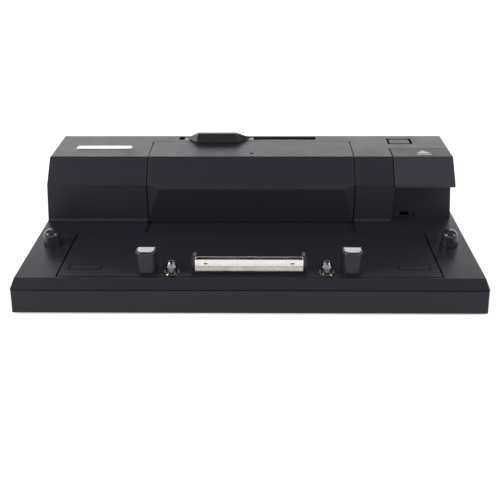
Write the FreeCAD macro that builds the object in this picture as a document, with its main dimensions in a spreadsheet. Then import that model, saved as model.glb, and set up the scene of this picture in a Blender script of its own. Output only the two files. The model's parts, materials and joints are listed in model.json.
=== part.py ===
import FreeCAD, Part
import os
import re
import Sketcher

# Laptop docking station: a flat base that a laptop rests on, and a tower behind it.
# +Z is up, the front faces -Y, and the origin is the middle of the footprint at floor level.

DOC = FreeCAD.newDocument("DockingStation")
SHEET = DOC.addObject("Spreadsheet::Sheet", "sizes")

# Driving dimensions in millimetres. Heights are above the floor and depths are behind the front
# face, unless the name says otherwise.
SIZES = {
    # base
    "base_width": 322.0, "base_depth": 170.4, "foot_height": 1.5, "seam_height": 19.25,
    "plate_height": 24.2, "slope_run": 7.8, "side_bevel": 2.5, "corner_radius": 1.2,
    "base_flare": 1.0, "wall": 2.4, "floor_wall": 2.5, "seam_gap": 0.7, "edge_round": 0.8,
    "edge_chamfer": 0.6, "foot_fillet": 1.4,
    # tower
    "tower_front": 101.5, "crease_height": 54.1, "slant_run": 17.4, "tower_top": 70.66,
    "tower_half": 156.0,
    # inset dock panel
    "panel_half": 130.0, "panel_front": 9.9, "panel_rear": 77.8, "panel_gap": 1.1,
    "panel_thick": 2.2, "panel_lip": 4.0,
    # battery bar and the notch that it slides over
    "bar_half": 79.4, "bar_gap": 0.5, "lip_half": 70.2, "lip_reach": 2.75, "lip_height": 51.5,
    "bar_rear": 154.3, "bar_foot": 22.7, "notch_half": 80.3, "notch_front": 80.0,
    "notch_floor": 22.2, "bar_travel": 20.0,
    # lever slot and tab
    "slot_left": -59.5, "slot_right": 52.5, "slot_front": 159.9, "slot_rear": 167.3,
    "lever_travel": 48.0, "tab_top": 77.2,
    # eject button, its well and the lock recess under it
    "eject_left": 109.4, "eject_rear": 138.0, "eject_gap": 0.5, "eject_foot": 52.0,
    "recess_back": 108.6, "recess_side": 153.5, "recess_draft": 2.5, "rim_height": 52.4,
    "shelf_height": 46.0,
    "eject_axis_x": 131.0, "eject_axis_y": 127.2,
    # power button
    "power_x": 120.0, "power_depth": 155.7, "power_wide": 16.4, "power_long": 10.0,
    "power_gap": 1.7, "power_flange": 2.8,
    # eject linkage: its crank turns on a pin that lies along X
    "crank_depth": 160.2, "crank_height": 12.0, "arm_left": 129.6, "arm_right": 132.4,
    "arm_pin_end": 135.2, "link_left": 133.0, "link_right": 134.6, "crank_drop": 4.8,
    "shaft_drop": 6.3,
    # latch posts and hooks
    "post_x": 69.6, "post_wide": 14.0, "post_front": 11.5, "post_rear": 22.0, "post_top": 40.9,
    "cap_half": 5.5, "cap_front": 13.2, "cap_rear": 20.6, "cap_round": 3.2, "cap_thick": 0.5,
    "slit_half": 1.8,
    "hook_thick": 2.8, "shaft_radius": 2.0, "shaft_depth": 18.2, "shaft_height": 13.0,
    # guide pins and support pegs
    "pin_x": 52.7, "pin_depth": 15.5, "pin_radius": 4.0, "collar_radius": 5.6, "pin_top": 32.6,
    "peg_x": 144.8, "peg_depth": 60.2, "peg_radius": 6.3, "peg_top_radius": 5.7, "peg_top": 35.5,
    # dock connector
    "plug_half": 39.0, "shell_half": 36.7, "plug_front": 13.5, "plug_rear": 22.0,
    "shell_front": 16.2, "shell_rear": 21.3, "shell_foot": 26.1, "shell_top": 33.4,
    # boards and the flat cable between them
    "board_thick": 1.6, "main_board_foot": 20.0, "io_top": 42.1, "plug_board_foot": 15.6,
    "cable_thick": 0.7,
    # slide frame, cam pin and lever tab
    "frame_foot": 42.0, "frame_top": 44.0, "cam_x": 6.0, "cam_y": 60.0, "tab_left": -55.0,
    "tab_right": 1.5,
    # rest pads, blank badge and status lens
    "pad_x": 113.2, "pad_half": 10.7, "pad_front": 20.0, "pad_rear": 26.5, "pad_gap": 0.6,
    "pad_sunk": 0.6, "badge_left": -139.4, "badge_right": -95.4, "badge_front": 136.6,
    "badge_rear": 143.6, "badge_thick": 0.5, "lens_x": 0.5, "lens_depth": 126.4,
}
for row, (alias, value) in enumerate(SIZES.items(), start=1):
    SHEET.set(f"A{row}", alias)
    SHEET.set(f"B{row}", str(value))
    SHEET.setAlias(f"B{row}", alias)
DOC.recompute()

NODES = []          # document objects that become files
WORD = re.compile(r"[a-z][a-z_]*[a-z]")


def bound(text):
    """An expression in which each size's name points at its cell."""
    return WORD.sub(lambda m: f"sizes.{m[0]}" if m[0] in SIZES else m[0], str(text))


def value(text):
    """The number that an expression of sizes gives now."""
    result = SHEET.evalExpression(bound(text))
    return float(getattr(result, "Value", result))


def deep(depth):
    """The Y of a place that lies this far behind the front face."""
    return f"({depth} - base_depth / 2)"


def minus(text):
    return f"(-({text}))"


def node(solid, label):
    """Mark a document object as one piece of the object."""
    solid.Label = label
    NODES.append(solid)
    return solid


def rect(low_u, high_u, low_v, high_v):
    return [(low_u, low_v), (high_u, low_v), (high_u, high_v), (low_u, high_v)]


def disc(centre_u, centre_v, radius):
    return ("disc", centre_u, centre_v, radius)


class Piece:
    """A PartDesign body built from prisms whose corners are bound to the sheet."""

    # Each origin plane's normal, as a sign along its axis.
    PLANES = {"XY": 1, "YZ": 1, "XZ": -1}

    def __init__(self, label):
        self.body = node(DOC.addObject("PartDesign::Body", "Body_" + label), label)
        self.count = 0

    def sketch(self, plane, loops, lift):
        self.count += 1
        name = f"Sketch_{self.body.Label}_{self.count}"
        sketch = self.body.newObject("Sketcher::SketchObject", name)
        role = plane + "_Plane"
        base = next(f for f in self.body.Origin.OriginFeatures if f.Role == role)
        sketch.AttachmentSupport = [(base, "")]
        sketch.MapMode = "FlatFace"
        sketch.setExpression("AttachmentOffset.Base.z", bound(lift))
        for loop in loops:
            if loop[0] == "disc":
                self.draw_disc(sketch, *loop[1:])
            else:
                self.draw_loop(sketch, loop)
        return sketch

    @staticmethod
    def pin_point(sketch, geometry, vertex, u, v):
        for kind, text in (("DistanceX", u), ("DistanceY", v)):
            rule = Sketcher.Constraint(kind, -1, 1, geometry, vertex, value(text))
            index = sketch.addConstraint(rule)
            sketch.setExpression(f"Constraints[{index}]", bound(text))

    def draw_loop(self, sketch, corners):
        points = [FreeCAD.Vector(value(u), value(v), 0) for u, v in corners]
        ring = list(zip(points, points[1:] + points[:1]))
        lines = [sketch.addGeometry(Part.LineSegment(a, b), False) for a, b in ring]
        for line, after in zip(lines, lines[1:] + lines[:1]):
            sketch.addConstraint(Sketcher.Constraint("Coincident", line, 2, after, 1))
        for line, (u, v) in zip(lines, corners):
            self.pin_point(sketch, line, 1, u, v)

    def draw_disc(self, sketch, u, v, radius):
        centre = FreeCAD.Vector(value(u), value(v), 0)
        ring = Part.Circle(centre, FreeCAD.Vector(0, 0, 1), value(radius))
        index = sketch.addGeometry(ring, False)
        self.pin_point(sketch, index, 3, u, v)
        rule = sketch.addConstraint(Sketcher.Constraint("Radius", index, value(radius)))
        sketch.setExpression(f"Constraints[{rule}]", bound(radius))

    def feature(self, kind, plane, loops, low, high):
        """Pad or pocket the loops between two places along the plane's axis."""
        facing = self.PLANES[plane]
        start = low if (kind == "Pad") == (facing > 0) else high
        lift = start if facing > 0 else minus(start)
        sketch = self.sketch(plane, loops, lift)
        name = f"{kind}_{self.body.Label}_{self.count}"
        made = self.body.newObject("PartDesign::" + kind, name)
        made.Profile = sketch
        made.setExpression("Length", bound(f"({high}) - ({low})"))
        sketch.Visibility = False
        return made

    def add(self, plane, loops, low, high):
        self.feature("Pad", plane, loops, low, high)
        return self

    def cut(self, plane, loops, low, high):
        DOC.recompute()
        before = self.body.Shape.Volume
        self.feature("Pocket", plane, loops, low, high)
        DOC.recompute()
        if self.body.Shape.Volume >= before:
            raise RuntimeError(f"a pocket in {self.body.Label} cuts nothing")
        return self

    def box(self, x, y, z):
        return self.add("XY", [rect(*x, *y)], *z)

    def cut_box(self, x, y, z):
        return self.cut("XY", [rect(*x, *y)], *z)

    def loft(self, lower, upper, low, high):
        """Join two outlines in level planes with straight sides."""
        first = self.sketch("XY", [lower], low)
        last = self.sketch("XY", [upper], high)
        made = self.body.newObject("PartDesign::AdditiveLoft", "Loft_" + self.body.Label)
        made.Profile = first
        made.Sections = [last]
        made.Ruled = True
        return self

    def turn(self, profile, x, y):
        """Revolve an outline of (radius, height) corners about an upright axis."""
        sketch = self.sketch("XZ", [profile], "0")
        made = self.body.newObject("PartDesign::Revolution", "Turn_" + self.body.Label)
        made.Profile = sketch
        made.ReferenceAxis = (sketch, ["V_Axis"])
        made.Angle = 360
        for place, text in (("x", x), ("y", y)):
            self.body.setExpression(f"Placement.Base.{place}", bound(text))
        return self

    def edge_names(self, chosen):
        DOC.recompute()
        edges = self.body.Tip.Shape.Edges
        return [f"Edge{i}" for i, edge in enumerate(edges, start=1) if chosen(edge)]

    def soften(self, kind, size, chosen):
        """Round or chamfer the edges that chosen picks."""
        names = self.edge_names(chosen)
        if not names:
            raise RuntimeError(f"no edge of {self.body.Label} to soften")
        base = self.body.Tip
        made = self.body.newObject("PartDesign::" + kind, f"{kind}_{self.body.Label}_{self.count}")
        made.Base = (base, names)
        made.setExpression("Radius" if kind == "Fillet" else "Size", bound(size))
        self.count += 1
        return self


def near(a, b):
    return abs(a - b) < 0.01


def steep(edge):
    """Whether the edge climbs, upright or nearly so."""
    ends = [v.Point for v in edge.Vertexes]
    return len(ends) == 2 and abs(ends[0].z - ends[1].z) > 5


def along(edge, axis):
    ends = [v.Point for v in edge.Vertexes]
    others = [name for name in "xyz" if name != axis]
    return len(ends) == 2 and all(near(getattr(ends[0], n), getattr(ends[1], n)) for n in others)


def all_at(edge, axis, place):
    """Whether every end of the edge has this coordinate."""
    return all(near(getattr(vertex.Point, axis), place) for vertex in edge.Vertexes)


def on_tower_face(edge):
    """Whether the edge lies on the tower's front, its slanted face or its top."""
    front, top_y = value(TOWER_Y), value(TOP_Y)
    foot, crease, top = (value(name) for name in ("plate_height", "crease_height", "tower_top"))
    middle = edge.CenterOfMass
    if near(middle.y, front):
        return foot < middle.z < crease
    slant = crease + (middle.y - front) * (top - crease) / (top_y - front)
    on_slant = front < middle.y < top_y and near(middle.z, slant)
    return on_slant or near(middle.z, top)


# Primitives for the small repeated pieces.

def place_at(solid, x, y, z):
    for axis, text in zip("xyz", (x, y, z)):
        solid.setExpression(f"Placement.Base.{axis}", bound(text))
    return solid


def block(name, x, y, z):
    solid = DOC.addObject("Part::Box", name)
    for side, (low, high) in zip(("Length", "Width", "Height"), (x, y, z)):
        solid.setExpression(side, bound(f"({high}) - ({low})"))
    return place_at(solid, x[0], y[0], z[0])


def rod(name, x, y, low, high, radius):
    solid = DOC.addObject("Part::Cylinder", name)
    solid.setExpression("Radius", bound(radius))
    solid.setExpression("Height", bound(f"({high}) - ({low})"))
    return place_at(solid, x, y, low)


def lying_rod(name, low, high, y, z, radius):
    """A cylinder along X."""
    solid = DOC.addObject("Part::Cylinder", name)
    solid.setExpression("Radius", bound(radius))
    solid.setExpression("Height", bound(f"({high}) - ({low})"))
    solid.Placement.Rotation = FreeCAD.Rotation(FreeCAD.Vector(0, 1, 0), 90)
    return place_at(solid, low, y, z)


def fuse(name, *solids):
    whole = DOC.addObject("Part::MultiFuse", name)
    whole.Shapes = list(solids)
    return whole


def cut(name, base, tool):
    left = DOC.addObject("Part::Cut", name)
    left.Base = base
    left.Tool = tool
    return left


def group(label, solids):
    """Identical pieces that share one node."""
    whole = DOC.addObject("Part::Compound", "Group_" + label)
    whole.Links = solids
    return node(whole, label)


# Places that several pieces share.
HALF = "base_width / 2"
FRONT = "(-base_depth / 2)"
REAR = "(base_depth / 2)"
TOWER_Y = deep("tower_front")
TOP_Y = deep("(tower_front + slant_run)")
FLOOR_TOP = "(foot_height + floor_wall)"
ROOF = "(tower_top - wall)"
RIM_HALF = "(base_width / 2 - base_flare)"
PLATE_HALF = "(base_width / 2 - side_bevel)"
CRANK_Y = deep("crank_depth")


def make_base_tray():
    """The lower casing: floor and low walls, screw bosses and the crank's two ears."""
    tray = Piece("base_tray")
    rim = "seam_height - seam_gap"
    tray.box((minus(HALF), HALF), (FRONT, REAR), ("foot_height", rim))
    for sign in ("", "-"):
        beyond = f"{sign}({HALF} + 1)"
        lean = [(f"{sign}({HALF})", "foot_height"), (beyond, "foot_height"), (beyond, rim),
                (f"{sign}{RIM_HALF}", rim)]
        tray.cut("XZ", [lean], f"{FRONT} - 1", f"{REAR} + 1")
    tray.soften("Fillet", "corner_radius", steep)
    inside = f"({RIM_HALF} - floor_wall)"
    tray.cut_box((minus(inside), inside), (f"{FRONT} + floor_wall", f"{REAR} - floor_wall"),
                 (FLOOR_TOP, rim))
    bosses = [disc(x, y, 4) for x, y in SCREW_PLACES]
    tray.add("XY", bosses, FLOOR_TOP, rim)
    for low in ("arm_left - 4.2", "arm_pin_end + 0.6"):
        tray.box((low, f"{low} + 3"), (f"{CRANK_Y} - 4.5", f"{CRANK_Y} + 4.5"),
                 (FLOOR_TOP, "crank_height + 5"))
    tray.cut("YZ", [disc(CRANK_Y, "crank_height", "shaft_radius + 0.06")], "arm_left - 4.6",
             "arm_pin_end + 3.8")
    tray.cut("XY", [disc(x, y, 1.6) for x, y in SCREW_PLACES], "foot_height", rim)
    tray.cut("XY", [disc(x, y, 3.4) for x, y in SCREW_PLACES], "foot_height", "3.6")
    feet = [rect(f"{x} - 17.2", f"{x} + 17.2", f"{y} - 5.2", f"{y} + 5.2") for x, y in FOOT_PLACES]
    tray.cut("XY", feet, "foot_height", "foot_height + 0.8")


SCREW_PLACES = [(x, y) for x in (-150, 150) for y in (-72, 12, 78)]
FOOT_PLACES = [(x, y) for x in (-128, 128) for y in (-74, 66)]
PAD_PLACES = ("-pad_x", "pad_x")


def make_upper_casing():
    """The upper casing: plate and tower in one moulding, with its openings."""
    casing = Piece("upper_casing")
    slope_y = f"({FRONT} + slope_run)"
    casing.loft(rect(minus(RIM_HALF), RIM_HALF, FRONT, REAR),
                rect(minus(PLATE_HALF), PLATE_HALF, slope_y, REAR), "seam_height", "plate_height")
    side = [(TOWER_Y, "plate_height - 1"), (TOWER_Y, "crease_height"), (TOP_Y, "tower_top"),
            (REAR, "tower_top"), (REAR, "plate_height - 1")]
    casing.add("YZ", [side], minus(PLATE_HALF), PLATE_HALF)
    beyond = f"({PLATE_HALF} + 3)"
    for sign in ("", "-"):
        draft = [(f"{sign}{PLATE_HALF}", "plate_height"), (f"{sign}tower_half", "crease_height"),
                 (f"{sign}tower_half", "tower_top + 1"), (f"{sign}{beyond}", "tower_top + 1"),
                 (f"{sign}{beyond}", "plate_height")]
        casing.cut("XZ", [draft], f"{TOWER_Y} - 1", f"{REAR} + 1")
    top = value("tower_top")
    casing.soften("Fillet", "edge_round", lambda e: along(e, "x") and near(e.Vertexes[0].Z, top)
                  or along(e, "y") and near(e.Vertexes[0].Z, top))
    # The hollow under the plate and inside the tower.
    under = f"({HALF} - 3.5)"
    casing.cut_box((minus(under), under), (f"{FRONT} + 6.6", f"{REAR} - wall"),
                   ("seam_height", "plate_height - wall"))
    hollow = [(f"{TOWER_Y} + wall", "seam_height"), (f"{TOWER_Y} + wall", "crease_height - 1"),
              (f"{TOP_Y} + 1", ROOF), (f"{REAR} - wall", ROOF), (f"{REAR} - wall", "seam_height")]
    tower_in = "(tower_half - wall)"
    casing.cut("YZ", [hollow], minus(tower_in), tower_in)
    # The block that holds the eject well and the lock recess, then the spaces cut from it.
    well_left, well_rear = "(eject_left - 2)", deep("(eject_rear + 2)")
    filled = [(f"{TOWER_Y} + 1", "plate_height - wall"), (f"{TOWER_Y} + 1", "crease_height - 1"),
              (f"{TOP_Y} + 0.5", ROOF), (well_rear, ROOF), (well_rear, "plate_height - wall")]
    casing.add("YZ", [filled], well_left, "tower_half - 1")
    casing.box(("recess_side - 0.5", "tower_half - 1"), (deep("eject_rear"), well_rear),
               ("plate_height - wall", ROOF))
    out_x, out_y = f"({HALF} + 1)", f"({TOWER_Y} - 1)"
    back = deep("recess_back")
    eject_y = deep("eject_rear")
    casing.cut_box(("eject_left", out_x), (out_y, eject_y), ("rim_height", "tower_top + 1"))
    casing.cut_box(("eject_left", out_x), (out_y, back), ("plate_height", "rim_height"))
    outside = [("recess_side + recess_draft", "plate_height"), (out_x, "plate_height"),
               (out_x, "rim_height"), ("recess_side", "rim_height")]
    casing.cut("XZ", [outside], out_y, eject_y)
    well_x, well_y = ("eject_left", "recess_side - 2"), (f"{back} + 2", eject_y)
    casing.cut_box(well_x, well_y, ("shelf_height", "rim_height"))
    casing.cut_box(well_x, well_y, ("seam_height", "shelf_height - 2"))
    casing.cut("XY", [disc("eject_axis_x", deep("eject_axis_y"), "2.9")], "shelf_height - 2.5",
               "shelf_height + 0.5")
    casing.cut_box(("113", "128"), (f"{back} - 1", f"{back} + 3"),
                   ("plate_height + 0.3", "plate_height + 4.7"))
    # The pan of the notch, the battery bar's opening and the dock panel's opening.
    pan = "(notch_half + 2)"
    notch_y = deep("notch_front")
    casing.box((minus(pan), pan), (f"{notch_y} - 1.6", f"{TOWER_Y} + 5"),
               ("notch_floor - 1.8", "plate_height - 0.4"))
    casing.cut_box(("-notch_half", "notch_half"), (notch_y, f"{TOWER_Y} - 0.4"),
                   ("notch_floor", "plate_height + 1"))
    bar_side = "(bar_half + bar_gap)"
    casing.cut_box((minus(bar_side), bar_side), (f"{TOWER_Y} - 1", deep("(bar_rear + 0.5)")),
                   ("notch_floor", "tower_top + 1"))
    edge = "(panel_half + panel_gap)"
    casing.cut_box((minus(edge), edge), (deep("(panel_front - 0.9)"), deep("(panel_rear + 0.35)")),
                   ("seam_height", "plate_height + 1"))
    # Lever slot, power button, pegs and the rear panel.
    casing.cut_box(("slot_left", "slot_right"), (deep("slot_front"), deep("slot_rear")),
                   ("tower_top - 4", "tower_top + 1"))
    half_x, half_y = "(power_wide / 2 + power_gap)", "(power_long / 2 + power_gap)"
    power_y = deep("power_depth")
    casing.cut_box((f"power_x - {half_x}", f"power_x + {half_x}"),
                   (f"{power_y} - {half_y}", f"{power_y} + {half_y}"), ("tower_top - 4", "tower_top + 1"))
    pegs = [disc(x, deep("peg_depth"), "peg_radius + 0.45") for x in ("-peg_x", "peg_x")]
    casing.cut("XY", pegs, "seam_height", "plate_height + 1")
    casing.cut_box(("-118.3", "112.3"), (f"{REAR} - 4", f"{REAR} + 1"), ("20.6", "io_top + 0.2"))
    bosses = [disc(x, y, 4) for x, y in SCREW_PLACES]
    casing.add("XY", bosses, "seam_height", "plate_height - 1")
    casing.cut("XY", [disc(x, y, 1.2) for x, y in SCREW_PLACES], "seam_height", "plate_height - 1.2")
    # Small chamfers round the bar's opening and beside the recess, and a fillet at the tower's foot.
    bar_x, eject_x = value(bar_side), value("eject_left")
    casing.soften("Chamfer", "edge_chamfer", lambda e: on_tower_face(e)
                  and (all_at(e, "x", bar_x) or all_at(e, "x", -bar_x) or all_at(e, "x", eject_x)))
    foot_y, foot_z = value(TOWER_Y), value("plate_height")
    casing.soften("Fillet", "foot_fillet", lambda e: along(e, "x") and all_at(e, "y", foot_y)
                  and all_at(e, "z", foot_z))


def make_dock_panel():
    """The inset panel that carries the connector, posts and pins."""
    panel = Piece("dock_panel")
    low = "(plate_height - panel_thick)"
    front, rear = deep("panel_front"), deep("panel_rear")
    panel.box(("-panel_half", "panel_half"), (front, rear), (low, "plate_height"))
    for sign in ("", "-"):
        lip = [(f"{sign}(panel_half - 5.5)", "20.4"), (f"{sign}(panel_half + panel_lip)", "20.4"),
               (f"{sign}(panel_half + panel_lip)", "21.7"), (f"{sign}panel_half", "21.7"),
               (f"{sign}panel_half", "22.2"), (f"{sign}(panel_half - 5.5)", "22.2")]
        panel.add("XZ", [lip], front, rear)
    panel.cut_box(("-37.4", "37.4"), (deep("14.2"), deep("21.3")), (low, "plate_height"))
    for x in ("-post_x", "post_x"):
        panel.cut_box((f"{x} - 5.1", f"{x} + 5.1"), (deep("12.7"), deep("22.1")), (low, "plate_height"))
    studs = [disc(x, deep("pin_depth"), "2.1") for x in ("-pin_x", "pin_x")]
    panel.cut("XY", studs, low, "plate_height")
    pockets = [rect(f"{x} - pad_half - pad_gap", f"{x} + pad_half + pad_gap",
                    deep("(pad_front - pad_gap)"), deep("(pad_rear + pad_gap)")) for x in PAD_PLACES]
    panel.cut("XY", pockets, "plate_height - pad_sunk", "plate_height")


def make_chassis_plate():
    """The steel plate under the dock panel."""
    plate = Piece("chassis_plate")
    low, high = "20.6", "(plate_height - panel_thick)"
    plate.box(("-123", "123"), (deep("11.6"), deep("74")), (low, high))
    plate.cut_box(("-38.5", "38.5"), (deep("10"), deep("26")), (low, high))
    for x in ("-post_x", "post_x"):
        plate.cut_box((f"{x} - 5.1", f"{x} + 5.1"), (deep("12.7"), deep("22.1")), (low, high))
    studs = [disc(x, deep("pin_depth"), "2.1") for x in ("-pin_x", "pin_x")]
    plate.cut("XY", studs, low, high)
    for x in ("-84", "-28", "28", "84"):
        window = rect(f"{x} - 20", f"{x} + 20", deep("36"), deep("66"))
        plate.cut("XY", [window], low, high)


def make_latch_post(label, x):
    """A post with rounded front corners and a flat rear, slotted for its hook."""
    post = Piece(label)
    front, rear = deep("post_front"), deep("post_rear")
    post.box((f"{x} - post_wide / 2", f"{x} + post_wide / 2"), (front, rear),
             ("plate_height", "post_top"))
    front_y, rear_y, top = value(front), value(rear), value("post_top")
    post.soften("Fillet", "4.6", lambda e: steep(e) and all_at(e, "y", front_y))
    post.soften("Fillet", "0.8", lambda e: steep(e) and all_at(e, "y", rear_y))
    post.soften("Fillet", "1.3", lambda e: all_at(e, "z", top))
    post.box((f"{x} - 5", f"{x} + 5"), (f"{front} + 1.3", f"{rear} - 0.1"), ("19", "plate_height"))
    post.cut_box((f"{x} - slit_half", f"{x} + slit_half"), (f"{front} + 1.4", f"{rear} + 1"),
                 ("18", "post_top - 1.7"))
    # The recess for the cap: a square rear part, a narrower front and a quarter round at each side.
    depth = ("post_top - cap_thick", "post_top + 1")
    round_y = deep("(cap_front + cap_round)")
    post.cut_box((f"{x} - cap_half", f"{x} + cap_half"), (round_y, deep("cap_rear")), depth)
    post.cut_box((f"{x} - cap_half + cap_round", f"{x} + cap_half - cap_round"),
                 (deep("cap_front"), deep("cap_rear")), depth)
    for centre in (f"{x} - cap_half + cap_round", f"{x} + cap_half - cap_round"):
        post.cut("XY", [disc(centre, round_y, "cap_round")], *depth)


def make_post_cap(label, x):
    """A thin bright plate let into the top of a post, rounded towards the front."""
    cap = Piece(label)
    cap.box((f"{x} - cap_half", f"{x} + cap_half"), (deep("cap_front"), deep("cap_rear")),
            ("post_top - cap_thick", "post_top"))
    front_y = value(deep("cap_front"))
    cap.soften("Fillet", "cap_round", lambda e: along(e, "z") and all_at(e, "y", front_y))


def make_latch_hook(label, x):
    """A flat steel hook on the latch shaft; its nose points to the rear."""
    hook = Piece(label)
    axis_y, axis_z = deep("shaft_depth"), "shaft_height"
    low, high = f"{x} - hook_thick / 2", f"{x} + hook_thick / 2"
    hook.add("YZ", [disc(axis_y, axis_z, "4.2")], low, high)
    nose = [(f"{axis_y} - 2", axis_z), (f"{axis_y} + 2", axis_z), (f"{axis_y} + 2", "35"),
            (f"{axis_y} + 6.2", "35"), (f"{axis_y} + 6.2", "36"), (f"{axis_y} + 3.6", "38"),
            (f"{axis_y} - 2", "38")]
    hook.add("YZ", [nose], low, high)
    hook.cut("YZ", [disc(axis_y, axis_z, "shaft_radius + 0.05")], low, high)


def make_latch_shaft():
    """The shaft that both hooks turn on, with its crank arm at the right-hand end."""
    shaft = Piece("latch_shaft")
    axis_y, axis_z = deep("shaft_depth"), "shaft_height"
    shaft.add("YZ", [disc(axis_y, axis_z, "shaft_radius")], "-84", "arm_right")
    arm = rect(f"{axis_y} - 2.4", f"{axis_y} + 2.4", f"{axis_z} - shaft_drop - 2.3", f"{axis_z} + 3")
    shaft.add("YZ", [arm], "arm_left", "arm_right")
    shaft.add("YZ", [disc(axis_y, f"{axis_z} - shaft_drop", "1.2")], "arm_right", "arm_pin_end")


def make_eject_parts():
    """The eject button, its push rod, spring, crank, crank pin and pull link."""
    cap = Piece("eject_button")
    left, rear = "(eject_left + eject_gap)", deep("(eject_rear - eject_gap)")
    side = [(TOWER_Y, "eject_foot"), (TOWER_Y, "crease_height"), (TOP_Y, "tower_top"),
            (rear, "tower_top"), (rear, "eject_foot")]
    cap.add("YZ", [side], left, "tower_half")
    top = value("tower_top")
    outer_x, front_y = value("tower_half"), value(TOP_Y)
    cap.soften("Fillet", "edge_round", lambda e: all_at(e, "z", top) and all_at(e, "y", front_y)
               or on_tower_face(e) and all_at(e, "x", outer_x))
    inner_x = value(left)
    cap.soften("Fillet", "edge_round", lambda e: on_tower_face(e) and all_at(e, "x", inner_x))
    hollow = [(f"{TOWER_Y} + 2", "eject_foot"), (f"{TOWER_Y} + 2", "crease_height - 0.9"),
              (f"{TOP_Y} + 0.9", "tower_top - 2"), (f"{rear} - 2", "tower_top - 2"),
              (f"{rear} - 2", "eject_foot")]
    cap.cut("YZ", [hollow], f"{left} + 2", "tower_half - 2")
    axis_x, axis_y = "eject_axis_x", deep("eject_axis_y")
    cap.add("XY", [disc(axis_x, axis_y, 5)], "59", "tower_top - 1")
    # Notches in the hidden walls, so that the pressed cap passes the rim of its well.
    back = deep("recess_back")
    cap.cut_box((left, f"{left} + 2"), (f"{back} - 0.6", f"{back} + 2.6"), ("eject_foot", "57.9"))
    cap.cut_box(("recess_side - 2.6", "tower_half - 2"), (f"{rear} - 2", rear), ("eject_foot", "57.9"))

    push = Piece("eject_rod")
    push.turn([("0", "14.3"), ("1.2", "14.3"), ("1.2", "20"), ("2.5", "22"), ("2.5", "56.5"),
               ("5", "56.5"), ("5", "59"), ("0", "59")], axis_x, axis_y)

    crank = Piece("eject_crank")
    arm = ("arm_left", "arm_right")
    low_z = "(crank_height - crank_drop)"
    crank.add("YZ", [disc(CRANK_Y, "crank_height", 5)], *arm)
    crank.add("YZ", [rect(f"{CRANK_Y} - 36", CRANK_Y, "crank_height - 1.8", "crank_height + 2.2")], *arm)
    crank.add("YZ", [rect(f"{CRANK_Y} - 2.4", f"{CRANK_Y} + 2.4", f"{low_z} - 2.2", "crank_height")], *arm)
    crank.add("YZ", [disc(CRANK_Y, low_z, 1.2)], "arm_right", "arm_pin_end")
    crank.cut("YZ", [disc(CRANK_Y, "crank_height", "shaft_radius + 0.06")], *arm)
    node(lying_rod("CrankPin", "arm_left - 5", "arm_pin_end + 4.4", CRANK_Y, "crank_height",
                   "shaft_radius"), "crank_pin")

    link = Piece("pull_link")
    front_y, front_z = deep("shaft_depth"), "(shaft_height - shaft_drop)"
    strip = [(f"{front_y} - 2.6", f"{front_z} - 2.3"), (f"{CRANK_Y} + 2.6", f"{low_z} - 2.3"),
             (f"{CRANK_Y} + 2.6", f"{low_z} + 2.3"), (f"{front_y} - 2.6", f"{front_z} + 2.3")]
    link.add("YZ", [strip], "link_left", "link_right")
    link.cut("YZ", [disc(front_y, front_z, 1.5), disc(CRANK_Y, low_z, 1.5)], "link_left", "link_right")


def make_shaft_bearings():
    bearings = []
    for index, x in enumerate((-80, 45, 122)):
        stand = block(f"BearingStand{index}", (x, x + 4), (f"{deep('shaft_depth')} - 3.5",
                      f"{deep('shaft_depth')} + 3.5"), (FLOOR_TOP, "shaft_height + 2.6"))
        bore = lying_rod(f"BearingBore{index}", x - 1, x + 5, deep("shaft_depth"), "shaft_height",
                         "shaft_radius + 0.08")
        bearings.append(cut(f"Bearing{index}", stand, bore))
    group("shaft_bearings", bearings)


def make_guide_pin(label, x):
    """A plated pin with a low collar, a tapered nose and a round socket in its end."""
    pin = Piece(label)
    pin.turn([("0", "19"), ("2", "19"), ("2", "plate_height"), ("collar_radius", "plate_height"),
              ("collar_radius", "plate_height + 0.5"), ("collar_radius - 0.5", "plate_height + 1"),
              ("pin_radius", "plate_height + 1"), ("pin_radius", "pin_top - 3.2"),
              ("2.9", "pin_top - 0.8"), ("2.2", "pin_top"), ("1.2", "pin_top"), ("1.2", "pin_top - 2.6"),
              ("0", "pin_top - 2.6")], x, deep("pin_depth"))


def make_support_peg(label, x):
    """A domed peg that sinks into the base on its spring."""
    peg = Piece(label)
    peg.turn([("0", "19.6"), ("8.2", "19.6"), ("8.2", "21.6"), ("peg_radius", "21.6"),
              ("peg_radius", "plate_height + 0.4"), ("peg_top_radius", "peg_top - 3.4"),
              ("peg_top_radius", "peg_top"), ("0", "peg_top")], x, deep("peg_depth"))
    top = value("peg_top")
    peg.soften("Fillet", "4.4", lambda e: all_at(e, "z", top) and len(e.Vertexes) == 1)
    peg.cut("XY", [disc("0", "0", "2.9")], "19", "32.6")


def make_peg_guides():
    guides = []
    for index, x in enumerate(("-peg_x", "peg_x")):
        y = deep("peg_depth")
        guides.append(fuse(f"PegGuide{index}", rod(f"PegSeat{index}", x, y, FLOOR_TOP, "5.2", 7.2),
                           rod(f"PegPost{index}", x, y, "4.6", "22.5", 2.5)))
    group("peg_guides", guides)


def make_spring(label, x, y, low, high, coil_radius, wire, turns):
    """A round-wire compression spring standing on Z."""
    bottom, top = value(low) + wire, value(high) - wire
    height = top - bottom
    coil = Part.makeHelix(height / turns, height, coil_radius)
    ring = Part.Wire(Part.makeCircle(wire, FreeCAD.Vector(coil_radius, 0, 0), FreeCAD.Vector(0, 1, 0)))
    spring = DOC.addObject("Part::Feature", "Spring_" + label)
    spring.Shape = Part.Wire(coil.Edges).makePipeShell([ring], True, True)
    spring.Placement = FreeCAD.Placement(FreeCAD.Vector(value(x), value(y), bottom), FreeCAD.Rotation())
    node(spring, label)


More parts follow.
